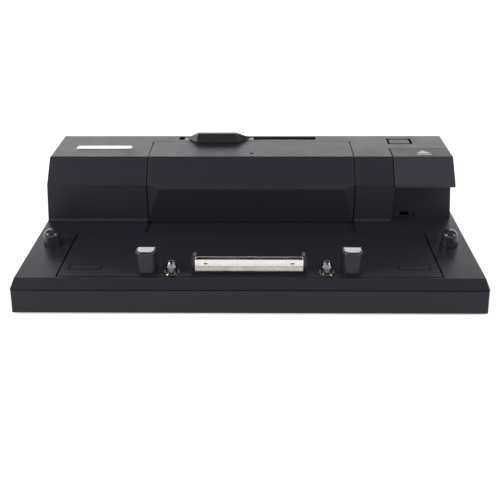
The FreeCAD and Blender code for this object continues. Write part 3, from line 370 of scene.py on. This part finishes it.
def make_port_contacts(materials):
    """Gilt contacts inside the network socket and on the two USB tongues."""
    reach = 9 * MM
    low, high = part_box("network_port")
    mouth_gap, foot_below, top_below = 2.5 * MM, 3.4 * MM, 3.0 * MM
    corners = contact_row((low.x + high.x) / 2, 8, 1.02 * MM, 0.44 * MM,
                          (high.y - reach, high.y - mouth_gap), (high.z - foot_below, high.z - top_below))
    low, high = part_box("usb_ports")
    mouth_gap, thick, tongues = 1.6 * MM, 0.15 * MM, (3.8 * MM, 11.0 * MM)
    for tongue in tongues:
        top = low.z + tongue
        corners += contact_row((low.x + high.x) / 2, 4, 2.3 * MM, 1.0 * MM,
                               (high.y - reach, high.y - mouth_gap), (top - thick, top))
    mesh_piece("socket_contacts", lambda work: blocks(work, corners), materials["gilt"], "root")


# Each screen socket's insert: node, columns of holes, their pitch, the middle row's shift, the whole
# pattern's shift, half the plate's width, how far it lies behind the socket's mouth, and its finish.
INSERTS = (("vga_port", 5, 2.29 * MM, 1.15 * MM, 0.0, 7.4 * MM, 0.8 * MM, "vga_insert"),
           ("dvi_port", 8, 1.9 * MM, 0.0, 3 * MM, 11.4 * MM, 1.0 * MM, "dvi_insert"))


def make_port_inserts(materials):
    """Insulators of the two screen sockets, with dark discs of painted shade where their three rows of pin
    holes are.
    """
    row_pitch, half_tall, below_top = 1.95 * MM, 3.1 * MM, 5.2 * MM
    plate_back, plate_front = 0.1 * MM, 0.15 * MM
    hole, hole_proud = 0.5 * MM, 0.05 * MM
    for name, columns, pitch, stagger, shift, half_wide, sunk, finish in INSERTS:
        low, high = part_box(name)
        middle_x, middle_z, face = (low.x + high.x) / 2, high.z - below_top, high.y - sunk
        holes = []
        for row in (-1, 0, 1):
            start = middle_x + shift - (columns - 1) / 2 * pitch + (stagger if row == 0 else 0)
            holes += [(start + column * pitch, middle_z + row * row_pitch) for column in range(columns)]
        front = face + plate_front
        plate = [((middle_x - half_wide, face - plate_back, middle_z - half_tall),
                  (middle_x + half_wide, front, middle_z + half_tall))]
        depths = (front - hole_proud, front + hole_proud)
        mesh_piece(name + "_insert", lambda work: blocks(work, plate), materials[finish], "root")
        # Dark discs on the plate's face: painted shade for the pin holes, which the plate doesn't have.
        mesh_piece(name + "_painted_hole_shade", lambda work: pin_ends(work, holes, hole, *depths), materials["lens"],
                   "root")


# Each spring's node, the joint that shortens it and how far.
SPRINGS = (("eject_spring", "eject_press", 5 * MM), ("peg_spring_left", "peg_left_sink", 9 * MM),
           ("peg_spring_right", "peg_right_sink", 9 * MM))


def make_springs(materials):
    """Round-wire springs at their CAD nodes' full length; each stands for its CAD node, which it hides."""
    wire = 0.45 * MM
    for node, joint, travel in SPRINGS:
        low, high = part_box(node)
        tall = high.z - low.z
        foot = Vector(((low.x + high.x) / 2, (low.y + high.y) / 2, low.z))
        radius = (high.x - low.x) / 2 - wire
        piece = mesh_piece(node + "_wire", lambda work: wire_coil(work, foot, radius, wire, tall),
                           materials["steel"], "root")
        for face in piece.data.polygons:
            face.use_smooth = True
        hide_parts(node)
        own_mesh(piece)


def make_screw_crosses(materials):
    """Dark crosses under the heads of the six case screws: painted shade for their recesses."""
    low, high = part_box("case_screws")
    head_radius, middle_row = 3 * MM, 97.2 * MM
    arm, line, proud, sunk = 1.6 * MM, 0.5 * MM, 0.02 * MM, 0.3 * MM
    corners = []
    for x in (low.x + head_radius, high.x - head_radius):
        for y in (low.y + head_radius, FRONT_Y + middle_row, high.y - head_radius):
            for half_x, half_y in ((arm, line / 2), (line / 2, arm)):
                corners.append(((x - half_x, y - half_y, low.z - proud),
                                (x + half_x, y + half_y, low.z + sunk)))
    # The black steel finish here is painted shade for the recesses, not a finish of the screws.
    mesh_piece("screw_recess_shade", lambda work: blocks(work, corners), materials["dark_steel"], "root")


# ---------------------------------------------------------------- stage

FLOOR_HALF = 4.0
FLOOR_GLOW = 0.5  # the floor shines a little, like a white sweep that is lit from behind
FLOOR_SHADES = ((0.5, 0.5, 0.5), (0.52, 0.52, 0.52))
FLOOR_PATCHES, FLOOR_ROUGHNESS = 3, 0.8

WORLD_LIGHT = 2.9
# How bright the surroundings are at each height, from the horizon (0) to overhead (1): a white
# backdrop low down, a dark room above it, then a ring of soft lamps and a dark ceiling.
SURROUNDINGS = ((0.0, 0.95), (0.36, 0.92), (0.5, 0.05), (0.8, 0.05), (0.91, 0.42), (1.0, 0.08))

# Each soft lamp's name, place and power in watts.
LAMPS = (("left_box", (-1.2, -0.5, 0.9), 26), ("right_box", (1.2, -0.5, 0.9), 15))
LAMP_SIZE = (0.5, 0.6)
LAMP_TARGET = (0, 0, 0.03)

# The camera's turns in degrees, its lens and sensor in millimetres, and how far it stands to the
# right of the base's middle, in front of the base and above its lower edge.
CAMERA_PITCH, CAMERA_YAW, CAMERA_ROLL = 26.461, -1.007, -0.342
CAMERA_LENS, CAMERA_SENSOR = 55.5, 36
CAMERA_RIGHT, CAMERA_AWAY, CAMERA_ABOVE = 8.82 * MM, 446.86 * MM, 270.08 * MM


def add_stage():
    """A plain pale floor."""
    mesh = bpy.data.meshes.new("floor")
    work = bmesh.new()
    corners = [(-FLOOR_HALF, -FLOOR_HALF), (FLOOR_HALF, -FLOOR_HALF),
               (FLOOR_HALF, FLOOR_HALF), (-FLOOR_HALF, FLOOR_HALF)]
    work.faces.new([work.verts.new((x, y, CAD_LOW[2])) for x, y in corners])
    work.to_mesh(mesh)
    work.free()
    floor = bpy.data.objects.new("floor", mesh)
    bpy.context.scene.collection.objects.link(floor)
    material, tree, shader = new_material("pale_floor")
    tree.links.new(blend_colours(tree, noise(tree, FLOOR_PATCHES), *FLOOR_SHADES),
                   shader.inputs["Base Color"])
    shader.inputs["Roughness"].default_value = FLOOR_ROUGHNESS
    shader.inputs["Emission Color"].default_value = (1, 1, 1, 1)
    shader.inputs["Emission Strength"].default_value = FLOOR_GLOW
    mesh.materials.append(material)


def add_world():
    """Surroundings whose brightness depends only on the height."""
    world = bpy.data.worlds.new("studio")
    bpy.context.scene.world = world
    world.use_nodes = True
    tree = world.node_tree
    back = tree.nodes["Background"]
    place = tree.nodes.new("ShaderNodeTexCoord")
    split = tree.nodes.new("ShaderNodeSeparateXYZ")
    steps = tree.nodes.new("ShaderNodeValToRGB")
    elements = steps.color_ramp.elements
    while len(elements) < len(SURROUNDINGS):
        elements.new(0.5)
    for element, (height, level) in zip(elements, SURROUNDINGS):
        element.position = height
        element.color = (level, level, level, 1)
    gain = tree.nodes.new("ShaderNodeMath")
    gain.operation = "MULTIPLY"
    gain.inputs[1].default_value = WORLD_LIGHT
    tree.links.new(place.outputs["Generated"], split.inputs["Vector"])
    tree.links.new(split.outputs["Z"], steps.inputs["Fac"])
    tree.links.new(steps.outputs["Color"], gain.inputs[0])
    tree.links.new(gain.outputs["Value"], back.inputs["Strength"])
    back.inputs["Color"].default_value = (1, 1, 1, 1)


def add_lamps():
    """Soft lamps on both sides; the camera doesn't see them."""
    for name, place, power in LAMPS:
        light = bpy.data.lights.new(name, "AREA")
        light.shape = "RECTANGLE"
        light.size, light.size_y = LAMP_SIZE
        light.energy = power
        lamp = bpy.data.objects.new(name, light)
        bpy.context.scene.collection.objects.link(lamp)
        lamp.location = place
        aim = Vector(LAMP_TARGET) - Vector(place)
        lamp.rotation_euler = aim.to_track_quat("-Z", "Y").to_euler()
        lamp.visible_camera = False


def add_camera():
    """The camera stands in front of the dock and looks down on it."""
    pitch, yaw, roll = (math.radians(a) for a in (CAMERA_PITCH, CAMERA_YAW, CAMERA_ROLL))
    forward = Vector((math.sin(yaw) * math.cos(pitch), math.cos(yaw) * math.cos(pitch), -math.sin(pitch)))
    right = Vector((math.cos(yaw), -math.sin(yaw), 0))
    up = right.cross(forward)
    turned_right = right * math.cos(roll) + up * math.sin(roll)
    turned_up = up * math.cos(roll) - right * math.sin(roll)
    camera = bpy.data.cameras.new("camera")
    camera.sensor_width = CAMERA_SENSOR
    camera.lens = CAMERA_LENS
    eye = bpy.data.objects.new("camera", camera)
    bpy.context.scene.collection.objects.link(eye)
    turn = Matrix((turned_right, turned_up, -forward)).transposed()
    spot = Vector((CAMERA_RIGHT, FRONT_Y - CAMERA_AWAY, BASE_Z + CAMERA_ABOVE))
    eye.matrix_world = Matrix.LocRotScale(spot, turn.to_quaternion(), None)
    bpy.context.scene.camera = eye


materials = make_materials()
dress_cad_nodes(materials)
make_eject_sign(materials)
make_power_sign(materials)
make_plug_contacts(materials)
make_port_contacts(materials)
make_port_inserts(materials)
make_springs(materials)
make_screw_crosses(materials)
add_stage()
add_world()
add_lamps()
add_camera()
bpy.context.scene.view_settings.view_transform = "Standard"
